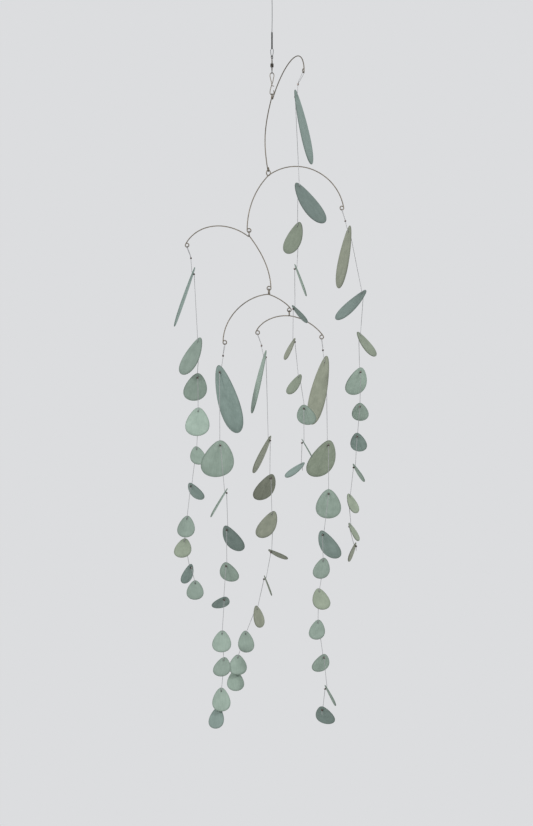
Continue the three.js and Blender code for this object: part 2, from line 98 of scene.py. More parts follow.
# Colour that goes from first to second; the sockets of a colour mix are 0, 6 and 7, its result 2.
def blendColours(tree, factor, first, second):
    node = addNode(tree, "ShaderNodeMix", {"data_type": "RGBA"}, {0: factor, 6: first, 7: second})
    return node.outputs[2]


def rampOf(tree, factor, low, high):
    node = addNode(tree, "ShaderNodeMapRange", inputs={"Value": factor, "From Min": low, "From Max": high})
    return node.outputs["Result"]


def uvInMillimetres(tree, stretch):
    coordinates = addNode(tree, "ShaderNodeUVMap", {"uv_map": "sheet"})
    mapping = addNode(tree, "ShaderNodeMapping", inputs={
        "Vector": coordinates.outputs["UV"], "Scale": (stretch[0], stretch[1], 1),
    })
    return mapping.outputs["Vector"]


def noiseOf(tree, vector, scale, detail, roughness=0.5):
    node = addNode(tree, "ShaderNodeTexNoise", inputs={
        "Vector": vector, "Scale": scale, "Detail": detail, "Roughness": roughness,
    })
    return node.outputs["Fac"]


# Matte paint on thin sheet: cloudy tint, faint streaks down the leaf, and painted shade that darkens the rim
# and the edge of the hole
leafTints = {
    "blue": dict(main="#6d7d77", pale="#7d8d87", deep="#5e6e68", paintedRimShade="#424e49"),
    "green": dict(main="#829287", pale="#91a196", deep="#728277", paintedRimShade="#4e5b52"),
    "sage": dict(main="#818c7b", pale="#919b89", deep="#717b6a", paintedRimShade="#4e5649"),
    "olive": dict(main="#7b8071", pale="#8b8f7f", deep="#6a6f60", paintedRimShade="#494d40"),
}


def leafPaint(tint):
    colours = leafTints[tint]
    material, tree = newMaterial(f"matte_paint_{tint}")
    cloud = noiseOf(tree, uvInMillimetres(tree, (1, 1)), 0.11, 5, 0.6)
    speck = noiseOf(tree, uvInMillimetres(tree, (1, 1)), 1.1, 3, 0.7)
    streak = noiseOf(tree, uvInMillimetres(tree, (0.09, 1.3)), 1.0, 4, 0.6)
    colour = blendColours(
        tree, rampOf(tree, cloud, 0.36, 0.66), toLinear(colours["deep"]), toLinear(colours["pale"]),
    )
    colour = blendColours(tree, 0.45, colour, toLinear(colours["main"]))
    streaked = blendColours(
        tree, rampOf(tree, streak, 0.38, 0.64), toLinear(colours["deep"]), toLinear(colours["pale"]),
    )
    colour = blendColours(tree, 0.32, colour, streaked)
    specked = blendColours(tree, rampOf(tree, speck, 0.55, 0.75), colour, toLinear(colours["deep"]))
    colour = blendColours(tree, 0.18, colour, specked)
    # Painted shade: the rim colour darkens the leaf's edge and the edge of its hole, mottled by the specks
    paintedRimShade = addNode(tree, "ShaderNodeAttribute", {"attribute_name": "paintedRimShade"}).outputs["Fac"]
    paintedRimShadeMask = addNode(tree, "ShaderNodeMath", {"operation": "MULTIPLY"}, {
        0: paintedRimShade, 1: rampOf(tree, speck, 0.2, 0.6),
    }).outputs["Value"]
    colour = blendColours(tree, paintedRimShadeMask, colour, toLinear(colours["paintedRimShade"]))
    # Each leaf's tone scale: partly its paint, partly painted light
    shade = addNode(tree, "ShaderNodeAttribute", {"attribute_name": "shade"}).outputs["Fac"]
    shaded = addNode(tree, "ShaderNodeHueSaturation", inputs={"Value": shade, "Color": colour})
    roughness = addNode(tree, "ShaderNodeMapRange", inputs={
        "Value": cloud, "From Min": 0.3, "From Max": 0.7, "To Min": 0.62, "To Max": 0.8,
    }).outputs["Result"]
    grain = addNode(tree, "ShaderNodeMath", {"operation": "ADD"}, {0: streak, 1: speck}).outputs["Value"]
    bump = addNode(tree, "ShaderNodeBump", inputs={"Strength": 0.35, "Distance": 0.00008, "Height": grain})
    shader = addNode(tree, "ShaderNodeBsdfPrincipled", inputs={
        "Base Color": shaded.outputs["Color"], "Roughness": roughness, "Normal": bump.outputs["Normal"],
    })
    closeMaterial(tree, shader)
    return material


# Bare or coated wire: lengthwise drawing marks in its tone, roughness and relief.
def metal(name, colours, metallic, roughness, marks):
    material, tree = newMaterial(name)
    drawn = noiseOf(tree, uvInMillimetres(tree, (0.12, 3)), marks, 4, 0.6)
    cloud = noiseOf(tree, uvInMillimetres(tree, (1, 1)), 0.35, 3)
    tone = addNode(tree, "ShaderNodeMath", {"operation": "MULTIPLY_ADD"}, {
        0: drawn, 1: 0.5, 2: rampOf(tree, cloud, -0.6, 1.9),
    }).outputs["Value"]
    colour = blendColours(tree, rampOf(tree, tone, 0.4, 0.95), toLinear(colours[0]), toLinear(colours[1]))
    gloss = addNode(tree, "ShaderNodeMapRange", inputs={
        "Value": drawn, "From Min": 0.3, "From Max": 0.7,
        "To Min": roughness - 0.07, "To Max": roughness + 0.09,
    }).outputs["Result"]
    bump = addNode(tree, "ShaderNodeBump", inputs={"Strength": 0.25, "Distance": 0.00003, "Height": drawn})
    shader = addNode(tree, "ShaderNodeBsdfPrincipled", inputs={
        "Base Color": colour, "Metallic": metallic, "Roughness": gloss, "Normal": bump.outputs["Normal"],
    })
    closeMaterial(tree, shader)
    return material


leafPaints = {tint: leafPaint(tint) for tint in leafTints}
# Drawn steel wire gives the eye a warm grey line with a pale top
armSteel = metal("drawn_steel_wire", ("#5f594f", "#857d71"), 1.0, 0.48, 1.0)
# Blackened nickel keeps the swivel the darkest spot on the line
darkNickel = metal("dark_nickel", ("#2f2d2a", "#55514b"), 1.0, 0.3, 1.2)
# Nylon over steel strand reads as a thin mid grey thread
coatedThread = metal("nylon_coated_strand", ("#858587", "#a6a6a7"), 0.4, 0.42, 2.0)
# The line above the swivel is the same wire under a darker coat
darkLine = metal("blackened_coated_line", ("#303232", "#535656"), 0.3, 0.42, 2.0)
# Whipping thread on the line is near black
darkWhipping = metal("dark_whipping_thread", ("#232423", "#414240"), 0.1, 0.55, 2.0)
# Pressed crimps take a dark warm metal tone, so each gives a small dark warm dot
pressedCrimp = metal("dark_warm_crimp_metal", ("#453f3c", "#7a6f69"), 1.0, 0.2, 1.5)
print("stage: materials", len(bpy.data.materials))


# Mesh helpers
# One object from parts of (points, faces, uvs, painted shade at the rim), points in millimetres
def makePiece(name, parts, material, body, nodes):
    points, faces, uvs, paintedRimShades = [], [], [], []
    for partPoints, partFaces, partUvs, partPaintedRimShades in parts:
        first = len(points)
        points.extend(point * metresPerMillimetre for point in partPoints)
        uvs.extend(partUvs)
        paintedRimShades.extend(partPaintedRimShades or [0.0] * len(partPoints))
        faces.extend(tuple(first + corner for corner in face) for face in partFaces)
    mesh = bpy.data.meshes.new(name)
    mesh.from_pydata([tuple(point) for point in points], [], faces)
    shape = bmesh.new()
    shape.from_mesh(mesh)
    bmesh.ops.recalc_face_normals(shape, faces=shape.faces)
    shape.to_mesh(mesh)
    shape.free()
    mesh.polygons.foreach_set("use_smooth", [True] * len(mesh.polygons))
    layer = mesh.uv_layers.new(name="sheet")
    for loop in mesh.loops:
        layer.data[loop.index].uv = uvs[loop.vertex_index]
    # Painted shade along each leaf's rim and round its hole, kept as a point attribute
    paintedRimShadeLayer = mesh.attributes.new("paintedRimShade", "FLOAT", "POINT")
    paintedRimShadeLayer.data.foreach_set("value", paintedRimShades)
    mesh.update()
    mesh.materials.append(material)
    piece = bpy.data.objects.new(name, mesh)
    bpy.context.scene.collection.objects.link(piece)
    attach(piece, body)
    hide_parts(*nodes)
    return piece


# A round wire along a route, with domed ends; uv runs along and around in millimetres
def sweep(route, radius, sides):
    places = [Vector(point) for point in route]
    tangents = []
    for index in range(len(places)):
        before = places[max(index - 1, 0)]
        after = places[min(index + 1, len(places) - 1)]
        tangents.append((after - before).normalized())
    normal = tangents[0].orthogonal().normalized()
    rings = []
    travelled = 0.0
    for index, place in enumerate(places):
        if index:
            turn = tangents[index - 1].rotation_difference(tangents[index])
            normal = (turn @ normal).normalized()
            travelled += (place - places[index - 1]).length
        rings.append((place, tangents[index], normal.copy(), 1.0, travelled))
    dome = [(0.9, 0.436), (0.6, 0.8), (0.25, 0.968)]
    first, last = rings[0], rings[-1]
    head = [(first[0] - first[1] * radius * out, first[1], first[2], wide, -radius * out)
            for wide, out in reversed(dome)]
    tail = [(last[0] + last[1] * radius * out, last[1], last[2], wide, last[4] + radius * out)
            for wide, out in dome]
    rings = head + rings + tail
    points, faces, uvs = [], [], []
    for place, tangent, side, wide, along in rings:
        binormal = tangent.cross(side)
        for step in range(sides):
            angle = 2 * math.pi * step / sides
            out = side * math.cos(angle) + binormal * math.sin(angle)
            points.append(place + out * radius * wide)
            uvs.append((along, radius * abs(math.pi - angle)))
    for ring in range(len(rings) - 1):
        for step in range(sides):
            following = (step + 1) % sides
            base, above = ring * sides, (ring + 1) * sides
            faces.append((base + step, base + following, above + following, above + step))
    faces.append(tuple(reversed(range(sides))))
    final = (len(rings) - 1) * sides
    faces.append(tuple(range(final, final + sides)))
    return points, faces, uvs, None


# A round piece about a vertical line; profile is (radius, height), closed on itself or on the line.
def turned(profile, centre, sides, closed=False):
    points, faces, uvs = [], [], []
    for radius, height in profile:
        for step in range(sides):
            angle = 2 * math.pi * step / sides
            points.append(centre + Vector((radius * math.cos(angle), radius * math.sin(angle), height)))
            uvs.append((height, radius * abs(math.pi - angle)))
    count = len(profile)
    for ring in range(count if closed else count - 1):
        base, above = ring * sides, ((ring + 1) % count) * sides
        for step in range(sides):
            following = (step + 1) % sides
            faces.append((base + step, base + following, above + following, above + step))
    if not closed:
        faces.append(tuple(reversed(range(sides))))
        faces.append(tuple(range((count - 1) * sides, count * sides)))
    return points, faces, uvs, None


def ringOf(centre, radius, thickness, turn, steps, sides):
    points, faces, uvs = [], [], []
    along = horizontal(turn)
    for step in range(steps):
        angle = 2 * math.pi * step / steps
        out = along * math.cos(angle) + up * math.sin(angle)
        axis = horizontal(turn + 90)
        for side in range(sides):
            around = 2 * math.pi * side / sides
            points.append(centre + out * (radius + thickness / 2 * math.cos(around)) + axis * (
                thickness / 2 * math.sin(around)))
            uvs.append((radius * angle, thickness / 2 * abs(math.pi - around)))
    for step in range(steps):
        for side in range(sides):
            base, above = step * sides, ((step + 1) % steps) * sides
            following = (side + 1) % sides
            faces.append((base + side, above + side, above + following, base + following))
    return points, faces, uvs, None


# Catmull-Rom points through a guide; power 0.5 keeps close points from overshooting.
def smoothed(guide, perSpan, power=0.5):
    guide = [Vector(point) for point in guide]
    ends = [guide[0] * 2 - guide[1]] + guide + [guide[-1] * 2 - guide[-2]]
    out = []
    for index in range(1, len(ends) - 2):
        p0, p1, p2, p3 = ends[index - 1:index + 3]
        t1 = max((p1 - p0).length, 1e-4) ** power
        t2 = t1 + max((p2 - p1).length, 1e-4) ** power
        t3 = t2 + max((p3 - p2).length, 1e-4) ** power
        for step in range(perSpan):
            t = t1 + (t2 - t1) * step / perSpan
            a1 = p0 * ((t1 - t) / t1) + p1 * (t / t1)
            a2 = p1 * ((t2 - t) / (t2 - t1)) + p2 * ((t - t1) / (t2 - t1))
            a3 = p2 * ((t3 - t) / (t3 - t2)) + p3 * ((t - t2) / (t3 - t2))
            b1 = a1 * ((t2 - t) / t2) + a2 * (t / t2)
            b2 = a2 * ((t3 - t) / (t3 - t1)) + a3 * ((t - t1) / (t3 - t1))
            out.append(b1 * ((t2 - t) / (t2 - t1)) + b2 * ((t - t1) / (t2 - t1)))
    out.append(guide[-1])
    return out


# Straight runs with each corner eased by a short curve, as a taut thread bends
def eased(route, reach, steps):
    out = [route[0]]
    for before, corner, after in zip(route, route[1:], route[2:]):
        into, onward = before - corner, after - corner
        start = corner + into.normalized() * min(reach, into.length * 0.45)
        end = corner + onward.normalized() * min(reach, onward.length * 0.45)
        for step in range(steps + 1):
            t = step / steps
            out.append(start * (1 - t) ** 2 + corner * (2 * t * (1 - t)) + end * t ** 2)
    out.append(route[-1])
    return out


# Hanging line: one coated wire with a bound loop at each end
line = dict(thickness=0.7, loopWidth=7, loopLength=11, upperBinding=12, bare=42, lowerBinding=19,
            lowerLoopWidth=3.6, lowerLoopLength=9.5)
upperBindingBottom = -(line["loopLength"] + line["upperBinding"])
lowerBindingTop = upperBindingBottom - line["bare"]
lowerBindingBottom = lowerBindingTop - line["lowerBinding"]
lineEnd = lowerBindingBottom - line["lowerLoopLength"]
halfStrandGap = 0.05
strandOffset = line["thickness"] / 2 + halfStrandGap
upperEyeTurn = 60


def loopOver(top, across, width, length, steps):
    points = []
    for step in range(steps + 1):
        angle = math.pi * step / steps
        height = -length + length * max(math.sin(angle), 0) ** 0.8
        points.append(top + across * (math.cos(angle) * width / 2) + up * height)
    return points


def winding(top, bottom, radius, strand, pitch):
    turns = (top - bottom) / pitch
    steps = int(turns * 14)
    route = []
    for step in range(steps + 1):
        angle = 2 * math.pi * turns * step / steps
        height = top + (bottom - top) * step / steps
        route.append(Vector((radius * math.cos(angle), radius * math.sin(angle), height)))
    return sweep(route, strand / 2, 6)


def hangingLine():
    acrossX, acrossLower = Vector((1, 0, 0)), horizontal(upperEyeTurn + 90)
    upperTop = Vector((0, 0, -line["thickness"] / 2))
    upper = loopOver(upperTop, acrossX, line["loopWidth"], line["loopLength"], 28)
    lowerTop = Vector((0, 0, -(lineEnd + line["thickness"] / 2)))
    lower = loopOver(lowerTop, acrossLower, line["lowerLoopWidth"], line["lowerLoopLength"], 24)
    flipped = [Vector((point.x, point.y, -point.z)) for point in lower]

    def onStrand(side, height):
        return acrossLower * (side * strandOffset) + up * height

    route = [
        Vector((strandOffset, 0, upperBindingBottom + 1)), Vector((strandOffset, 0, -line["loopLength"] - 1)),
        *upper[1:-1], Vector((-strandOffset, 0, -line["loopLength"] - 1)),
        Vector((-strandOffset, 0, upperBindingBottom + 1)), Vector((0, 0, upperBindingBottom - 2)),
        Vector((0, 0, lowerBindingTop + 2)), onStrand(1, lowerBindingTop - 2),
        onStrand(1, lowerBindingBottom + 1), *flipped[1:-1],
        onStrand(-1, lowerBindingBottom + 1), onStrand(-1, lowerBindingTop - 2),
    ]
    route = smoothed(route, 3)
    strand = makePiece("line_strand", [sweep(route, line["thickness"] / 2, 12)], darkLine,
                       "hanger", ["hanging_line"])
    whipping = dict(radius=0.82, strand=0.2, pitch=0.22)
    windings = [
        winding(-line["loopLength"], upperBindingBottom, **whipping),
        winding(lowerBindingTop, lowerBindingBottom, **whipping),
    ]
    bound = makePiece("line_bindings", windings, darkWhipping, "hanger", ["hanging_line"])


hangingLine()
print("stage: hanging line")

# Barrel swivel
swivel = dict(eyeRadius=1.7, wire=0.9, neck=1.5, radius=1.9, wall=0.6, length=4.4, head=0.7,
              upperNeck=5.5, lowerNeck=4)
eyeTop = lineEnd + line["thickness"] + clearance + swivel["wire"]
upperEyeCentre = eyeTop - swivel["wire"] / 2 - swivel["eyeRadius"]
barrelTop = upperEyeCentre - swivel["eyeRadius"] - swivel["upperNeck"]
barrelBottom = barrelTop - swivel["length"]
lowerEyeCentre = barrelBottom - swivel["lowerNeck"] - swivel["eyeRadius"]


def swivelEye(name, centreHeight, headHeight, side, turn, body):
    half = swivel["wire"] / 2
    headRadius = swivel["radius"] - swivel["wall"] - clearance
    start = centreHeight - side * swivel["eyeRadius"]
    far = headHeight - side * swivel["head"]
    neck = swivel["neck"] / 2
    neckEnd = headHeight + side * (swivel["wall"] + 2 * clearance)
    edge = 0.15
    profile = [
        (neck * 0.75, start), (neck * 0.8, start - side * 0.8), (neck, neckEnd + side * 0.7),
        (neck * 0.95, neckEnd + side * 0.1), (half * 1.2, neckEnd), (half, neckEnd), (half, headHeight),
        (headRadius - edge, headHeight), (headRadius, headHeight - side * edge),
        (headRadius, far + side * edge), (headRadius - edge, far),
    ]
    if side > 0:
        profile = profile[::-1]
    parts = [
        ringOf(Vector((0, 0, centreHeight)), swivel["eyeRadius"], swivel["wire"], turn, 40, 14),
        turned(profile, Vector((0, 0, 0)), 24),
    ]
    return makePiece(name + "_form", parts, darkNickel, body, [name])


def swivelBarrel():
    mouth = swivel["wire"] / 2 + clearance
    inner = swivel["radius"] - swivel["wall"]
    wall, length, radius = swivel["wall"], swivel["length"], swivel["radius"]
    profile = [(mouth, 0), (inner, 0), (inner + 0.22, 0.06), (inner + 0.42, 0.2), (radius - 0.04, 0.42),
               (radius, wall), (radius, 1.1), (radius - 0.14, 1.2), (radius - 0.14, 1.35), (radius, 1.45)]
    profile += [(r, length - h) for r, h in profile[::-1]]
    profile += [(mouth, length - wall), (inner, length - wall), (inner, wall), (mouth, wall)]
    parts = [turned(profile, Vector((0, 0, barrelBottom)), 32, closed=True)]
    return makePiece("swivel_barrel_form", parts, darkNickel, "hanger", ["swivel_barrel"])


upperHead = barrelTop - swivel["wall"] - clearance
lowerHead = barrelBottom + swivel["wall"] + clearance
swivelEye("swivel_upper_eye", upperEyeCentre, upperHead, 1, upperEyeTurn, "hanger")
swivelBarrel()
swivelEye("swivel_lower_eye", lowerEyeCentre, lowerHead, -1, 90, "mobile")

# Wire safety snap
snap = dict(wire=0.9, length=25.5, bowWidth=4.6, hookRadius=2.2, waist=12)
snapTop = lowerEyeCentre - swivel["eyeRadius"] + (swivel["wire"] + snap["wire"]) / 2 + clearance
snapWaist = snapTop - snap["waist"]
hookCentre = snapTop - snap["length"] + snap["hookRadius"]


def safetySnap():
    half, hook = snap["bowWidth"] / 2, snap["hookRadius"]
    spacing = (snap["wire"] + clearance) / 2
    reach = snapWaist - hookCentre
    guide = [
        (half * 0.9, -2 * spacing, snapWaist - 3.6), (0.2, -2 * spacing, snapWaist - 3),
        (-0.6, -spacing, snapWaist + 0.5), (-half * 0.8, -0.3, snapTop - half * 2.6),
        (-half, 0, snapTop - half * 1.5), (-half * 0.75, 0, snapTop - half * 0.4), (0, 0, snapTop),
        (half * 0.75, 0, snapTop - half * 0.4), (half, 0, snapTop - half * 1.5),
        (half * 0.8, 0.3, snapTop - half * 2.6), (0.6, spacing, snapWaist + 0.5),
        (-0.6, spacing, snapWaist - reach * 0.25), (-hook * 0.9, 0, hookCentre + reach * 0.3),
        (-hook, 0, hookCentre), (-hook * 0.7, 0, hookCentre - hook * 0.7), (0, 0, hookCentre - hook),
        (hook * 0.7, 0, hookCentre - hook * 0.7), (hook, 0, hookCentre),
        (hook * 0.9, 0, hookCentre + reach * 0.25),
    ]
    parts = [sweep(smoothed(guide, 8), snap["wire"] / 2, 12)]
    return makePiece("safety_snap_wire", parts, armSteel, "mobile", ["safety_snap"])


safetySnap()
print("stage: swivel and snap")

# Wire arms: azimuth of the right-hand side, turn of the pivot eye, and two sides given by
# reach and rise of the end, slopes at pivot and end, and how far each slope is kept
armSizes = dict(wire=1.2, eyeWidth=4.4, eyeHeight=6.2, endEye=2.2, endSweep=318)
bowSteps, endEyeSteps, pivotEyeSteps = 56, 32, 40
arms = {
    "arm_1": dict(azimuth=-69, eyeTurn=-21,
                  right=(97, 19.5, 47, -85, 53, 34), left=(-11, -81, -128, -66, 40, 34)),
    "arm_2": dict(azimuth=15, eyeTurn=0,
                  right=(91, -35, 36, -80, 45, 40), left=(-25.5, -64, -135, -90, 20, 28)),
    "arm_3": dict(azimuth=-20, eyeTurn=-60,
                  right=(26, -60, -52, -88, 20, 24), left=(-78, -7, 144, -120, 36, 26)),
    "arm_4": dict(azimuth=25, eyeTurn=60,
                  right=(28.5, -16, -14, -50, 10, 9), left=(-58.5, -56, 182, -90, 28, 30)),
    "arm_5": dict(azimuth=-15, eyeTurn=-60,
                  right=(39.5, -23.5, -8, -55, 16, 14), left=(-39, -18, 175, -115, 17, 13)),
}


def endEye(start, direction, inward):
    side = (inward - direction * inward.dot(direction)).normalized()
    radius = armSizes["endEye"]
    centre = start + side * radius
    points = []
    for step in range(1, endEyeSteps + 1):
        angle = math.radians(armSizes["endSweep"] * step / endEyeSteps)
        points.append(centre - side * (radius * math.cos(angle)) + direction * (radius * math.sin(angle)))
    down = (-direction * direction.z - side * side.z).normalized()
    return points, centre + down * radius


def armSide(foot, along, shape, eyePlane):
    reach, rise, leaveAngle, arriveAngle, keepLeave, keepArrive = shape

    def slope(angle):
        return along * math.cos(math.radians(angle)) + up * math.sin(math.radians(angle))

    end = foot + along * reach + up * rise
    leaving = foot + slope(leaveAngle) * keepLeave
    arrival = slope(arriveAngle)
    arriving = end - arrival * keepArrive
    bow = []
    for step in range(bowSteps + 1):
        t = step / bowSteps
        bow.append(foot * (1 - t) ** 3 + leaving * (3 * t * (1 - t) ** 2)
                   + arriving * (3 * t * t * (1 - t)) + end * t ** 3)
    facing = 1 if eyePlane.dot(along) >= 0 else -1
    eyePoints, lowest = endEye(end, arrival, eyePlane * (-1 if reach > 0 else 1) * facing)
    return bow, eyePoints, lowest


def makeArm(name, hanging, leftPlane, rightPlane):
    shape = arms[name]
    along = horizontal(shape["azimuth"])
    across = horizontal(shape["azimuth"] + shape["eyeTurn"])
    axis = horizontal(shape["azimuth"] + shape["eyeTurn"] + 90)
    pitch = armSizes["wire"] + clearance
    pivot = Vector((hanging.x, hanging.y, hanging.z + pitch - armSizes["eyeHeight"]))
    eye = []
    for step in range(pivotEyeSteps + 1):
        share = step / pivotEyeSteps
        angle = 2 * math.pi * share
        eye.append(pivot + across * (armSizes["eyeWidth"] / 2 * math.sin(angle))
                   + up * (armSizes["eyeHeight"] / 2 * (1 - math.cos(angle)))
                   + axis * (pitch * (share - 0.5)))
    leftBow, leftEye, leftLow = armSide(eye[0], along, shape["left"], leftPlane)
    rightBow, rightEye, rightLow = armSide(eye[-1], along, shape["right"], rightPlane)
    route = [*leftEye[::-1], *leftBow[::-1], *eye[1:-1], *rightBow, *rightEye]
    wire = sweep(route, armSizes["wire"] / 2, 14)
    makePiece(name + "_wire", [wire], armSteel, "mobile", [name])
    return leftLow, rightLow


def planeAcross(name):
    return horizontal(arms[name]["azimuth"] + arms[name]["eyeTurn"] + 90)


def ownPlane(name):
    return horizontal(arms[name]["azimuth"])


snapHanging = Vector((0, 0, hookCentre - snap["hookRadius"] + (snap["wire"] - armSizes["wire"]) / 2))
first = makeArm("arm_1", snapHanging, planeAcross("arm_2"), ownPlane("arm_1"))
second = makeArm("arm_2", first[0], planeAcross("arm_3"), ownPlane("arm_2"))
third = makeArm("arm_3", second[0], ownPlane("arm_3"), planeAcross("arm_4"))
fourth = makeArm("arm_4", third[1], ownPlane("arm_4"), planeAcross("arm_5"))
fifth = makeArm("arm_5", fourth[1], ownPlane("arm_5"), ownPlane("arm_5"))
anchors = {
    "a": (first[1], ownPlane("arm_1")),
    "b": (second[1], ownPlane("arm_2")),
    "c": (third[0], ownPlane("arm_3")),
    "d": (fourth[0], ownPlane("arm_4")),
    "e": (fifth[0], ownPlane("arm_5")),
    "f": (fifth[1], ownPlane("arm_5")),
}
print("stage: arms")

# Leaves: cut, drop of the hole from the one above, hole's place right of the anchor, length, width,
# lean from the plumb line, azimuth it leans to, and colour
leafSizes = dict(thickness=1.0, thread=0.6, crimp=2.1, crimpLength=2.0, loopDrop=13, tail=5, bend=2.5)
leafCuts = {"long": (8, 0.28), "broad": (5.5, 0.34), "middle": (5, 0.34), "small": (4, 0.34)}
threadLeaves = {
    "a": [
        ("long", 26.5, -7.5, 86, 32, 13, -20, "blue"),
        ("broad", 100, -5, 59, 37.5, 37, -41, "blue"),
        ("middle", 44, -6, 39, 31, 22, -140, "sage"),
        ("middle", 47, -8, 38, 30, 20, 2, "green"),
        ("small", 44, -10, 26, 22, 41, 15, "blue"),
        ("small", 37, -11, 27, 22, 25, -165, "olive"),
        ("small", 40, -5, 27, 22, 34, -145, "sage"),
        ("small", 34, 1, 26, 24, 31, 68, "green"),
        ("small", 38, 0, 24, 21, 29, 0, "green"),
        ("small", 25, -2, 28, 22, 54, -150, "blue"),
    ],
    "b": [
        ("long", 26, 8, 75, 27, 11, -153, "olive"),
        ("broad", 71, 24, 51, 38, 46, -152, "blue"),
        ("middle", 49, 21, 36, 31, 36, -28, "sage"),
        ("middle", 42, 21, 36, 30, 28, 120, "green"),
        ("small", 40, 21, 26, 21, 37, 85, "green"),
        ("small", 35, 18, 26, 21, 33, 75, "blue"),
        ("small", 36, 15, 25, 21, 32, 12, "green"),
        ("small", 35, 9, 25, 22, 25, -34, "sage"),
        ("small", 34, 10, 24, 21, 29, -20, "sage"),
        ("small", 23, 15, 24, 21, 20, 164, "olive"),
    ],
    "c": [
        ("long", 31, 6.5, 73, 28, 19, 176, "blue"),
        ("broad", 79, 13, 49, 38, 27, -145, "green"),
        ("middle", 41, 12, 37, 30, 31, 107, "green"),
        ("middle", 40, 13, 37, 30, 27, -95, "green"),
        ("small", 44, 11, 25, 20, 33, -73, "green"),
        ("small", 42, 5, 27, 22, 42, 49, "blue"),
        ("small", 39, 0, 27, 22, 24, -100, "green"),
        ("small", 26, -3, 26, 22, 34, -105, "sage"),
        ("small", 30, 3.5, 25, 22, 22, 143, "blue"),
        ("small", 19, 9.5, 25, 21, 31, -90, "green"),
    ],
    "d": [
        ("long", 31, -5, 85, 32, 24, 55, "blue"),
        ("broad", 83, -5.5, 48, 41, 28, 105, "green"),
        ("middle", 54, 0.5, 38, 31, 30, 176, "green"),
        ("middle", 42, 3, 37, 30, 36, 49, "blue"),
        ("small", 41, 2, 27, 25, 32, 65, "green"),
        ("small", 38, -1, 26, 22, 56, 112, "blue"),
        ("small", 40, -3, 26, 23, 24, -95, "green"),
        ("small", 30, -1, 25, 22, 36, -108, "green"),
        ("small", 35, -4, 28, 22, 23, -88, "green"),
        ("small", 22, -8, 26, 19, 28, -105, "blue"),
    ],
    "e": [
        ("long", 26, 8, 75, 29, 13, -168, "green"),
        ("broad", 96, 13, 48, 38, 25, 168, "olive"),
        ("middle", 43.5, 14.5, 38, 31, 36, 128, "olive"),
        ("middle", 43, 17, 37, 30, 35, -132, "olive"),
        ("small", 42, 16, 27, 22, 63, 36, "olive"),
        ("small", 32, 9, 25, 21, 20, 5, "sage"),
        ("small", 35, -1, 26, 22, 13, -34, "olive"),
        ("small", 29, -14, 26, 20, 20, -80, "green"),
        ("small", 27.5, -23, 26, 22, 33, -88, "green"),
        ("small", 18.5, -26, 26, 21, 33, -85, "green"),
    ],
    "f": [
        ("long", 27, 4, 82, 30, 16, -140, "olive"),
        ("broad", 94, 7, 50, 40, 32, 123, "sage"),
        ("middle", 56, 8, 38, 31, 26, 90, "green"),
        ("middle", 47, 2, 40, 32, 34, 47, "blue"),
        ("small", 31, 2, 26, 22, 27, -115, "green"),
        ("small", 35, -3, 27, 23, 30, -68, "sage"),
        ("small", 36, -4, 25, 20, 30, -105, "green"),
        ("small", 39, 2, 26, 23, 33, 115, "green"),
        ("small", 36, 5.5, 27, 22, 27, 9, "green"),
        ("small", 24, 1, 27, 25, 35, 64, "blue"),
    ],
}
separateLeaves = 7
# Leaves shown paler or deeper than their paint, by how much; this partly stands in for uneven light
coatAndLightShades = {
    1.6: "c1",
    1.18: "a1 a4 a6 a10 b1 b4 b5 b6 b7 b8 b9 b10 c4 c6 c9 d1 d3 e1 e2 e7 f1 f4",
    0.87: "a7 c2 c7 c10 d4 d8 e6 e8 f7 f10",
    0.8: "a2 a3 e3 f5",
}
leafCoatAndLight = {leaf: coatAndLight for coatAndLight, group in coatAndLightShades.items() for leaf in group.split()}
loopCrimpShifts = dict(a=-6, b=4, c=4.5, d=-2, e=4.5, f=1.5)


def leafAxes(lean, azimuth):
    tilt = math.radians(lean)
    out = horizontal(azimuth)
    down = out * math.sin(tilt) - up * math.cos(tilt)
    across = horizontal(azimuth + 90)
    lower = -out * math.cos(tilt) - up * math.sin(tilt)
    return down, across, lower


def eggOutline(cut, length, width, count):
    inset, swell = leafCuts[cut]
    corners = []
    for corner in range(count):
        angle = 2 * math.pi * corner / count
        sideways = (width / 2) * math.sin(angle) * (1 - swell * math.cos(angle)) / (1 + swell ** 2)
        corners.append(Vector((sideways, length * (1 - math.cos(angle)) / 2 - inset, 0)))
    return corners


def insetOutline(corners, distance):
    count = len(corners)
    out = []
    for index, corner in enumerate(corners):
        along = (corners[(index + 1) % count] - corners[index - 1]).normalized()
        out.append(corner - Vector((along.y, -along.x, 0)) * distance)
    return out


